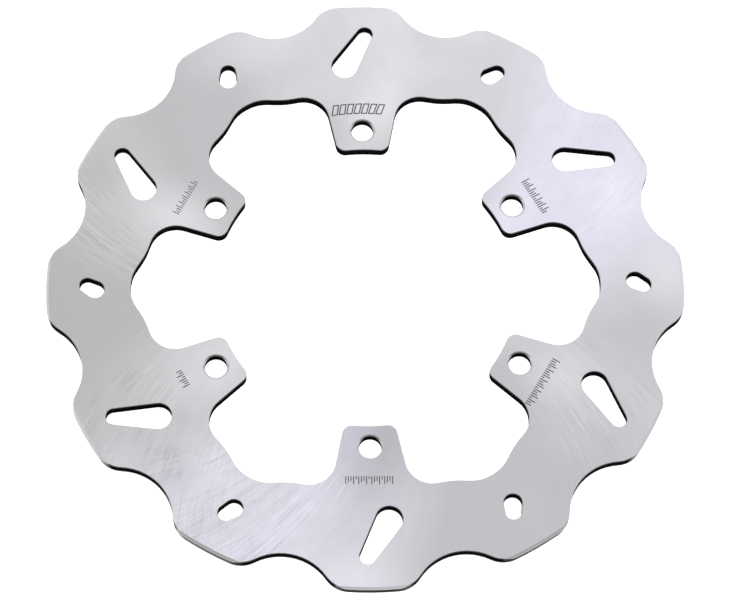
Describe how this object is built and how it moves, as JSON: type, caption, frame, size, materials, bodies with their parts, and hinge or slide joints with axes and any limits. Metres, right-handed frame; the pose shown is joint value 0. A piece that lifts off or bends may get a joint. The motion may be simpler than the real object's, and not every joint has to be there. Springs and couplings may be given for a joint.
{
  "type": "motorcycle brake disc",
  "caption": "One-piece wave brake disc of ground steel: lobed rim, leaning tapered slots and inward mounting tabs with bolt holes.",
  "frame": {"origin": "on the wheel axis, in the plane of the lower face", "axes": "+Z along the wheel axis out of the upper face, +Y through the middle of one mounting tab, +X completes a right-handed frame"},
  "size_m": [0.2392, 0.2392, 0.0042],
  "materials": {
    "ground_steel": "satin, surface ground"
  },
  "bodies": {
    "root": {"brake_disc": "ground_steel"}
  },
  "joints": []
}
